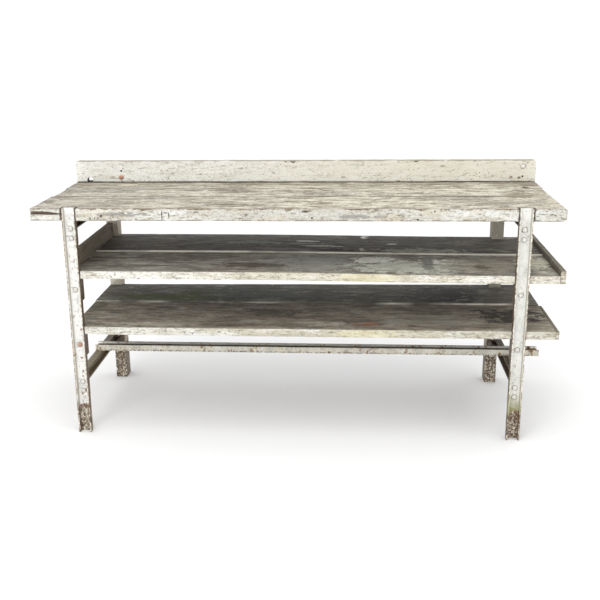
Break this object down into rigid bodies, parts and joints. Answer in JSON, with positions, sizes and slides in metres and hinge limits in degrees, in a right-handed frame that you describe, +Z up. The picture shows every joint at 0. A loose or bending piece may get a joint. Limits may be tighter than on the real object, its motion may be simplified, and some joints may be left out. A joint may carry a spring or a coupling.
{
  "type": "potting bench",
  "caption": "Potting bench with a thick plank worktop, a backboard and board shelves below, carried on a bolted frame of painted steel channel.",
  "frame": {"origin": "on the floor, under the middle of the whole bench's box", "axes": "+X along the bench, seen from the front from left to right; +Y from the front edge to the backboard; +Z up"},
  "size_m": [2.01, 0.68, 1.011],
  "materials": {
    "worktop_timber": "bare weathered grey planks with the front edge painted off-white and chipped",
    "painted_timber": "worn off-white paint on timber, chipped along the edges",
    "shelf_timber": "dark stained dirty boards, worn off-white paint on the front edges",
    "painted_steel": "old off-white paint on rolled steel, rusty along the edges and at the feet",
    "painted_bolts": "domed bolt heads painted over, rust showing through",
    "rusty_fasteners": "rusted bare steel"
  },
  "bodies": {
    "root": {"worktop_front_plank": "worktop_timber", "worktop_middle_plank": "worktop_timber", "worktop_rear_plank": "worktop_timber", "backboard": "painted_timber", "upper_shelf_end_batten": "painted_timber", "lower_shelf_end_strip": "painted_timber", "upper_shelf_front_board": "shelf_timber", "upper_shelf_rear_board": "shelf_timber", "lower_shelf_front_board": "shelf_timber", "lower_shelf_rear_board": "shelf_timber", "upper_shelf_batten_left": "shelf_timber", "upper_shelf_batten_right": "shelf_timber", "lower_shelf_batten_left": "shelf_timber", "lower_shelf_batten_right": "shelf_timber", "upper_shelf_end_board": "shelf_timber", "end_board_packer": "shelf_timber", "front_leg_left": "painted_steel", "front_leg_right": "painted_steel", "back_leg_left": "painted_steel", "back_leg_right": "painted_steel", "top_rail_left": "painted_steel", "top_rail_right": "painted_steel", "lower_rail_left": "painted_steel", "lower_rail_right": "painted_steel", "stretcher": "painted_steel", "backboard_bracket_left": "painted_steel", "backboard_bracket_right": "painted_steel", "upper_bracket_front_left": "painted_steel", "upper_bracket_front_right": "painted_steel", "upper_bracket_back_left": "painted_steel", "upper_bracket_back_right": "painted_steel", "lower_bracket_front_left": "painted_steel", "lower_bracket_front_right": "painted_steel", "lower_bracket_back_left": "painted_steel", "lower_bracket_back_right": "painted_steel", "rail_bolts": "painted_bolts", "bracket_bolts": "painted_bolts", "worktop_screws": "rusty_fasteners", "backboard_bolts": "rusty_fasteners", "backboard_nuts": "rusty_fasteners", "backboard_bracket_screws": "rusty_fasteners", "rail_nuts": "rusty_fasteners", "stretcher_bolts": "rusty_fasteners", "stretcher_nuts": "rusty_fasteners", "bracket_nuts": "rusty_fasteners", "upper_batten_screws": "rusty_fasteners", "lower_batten_screws": "rusty_fasteners", "end_board_nails": "rusty_fasteners", "end_batten_nails": "rusty_fasteners", "end_strip_nails": "rusty_fasteners"}
  },
  "joints": []
}
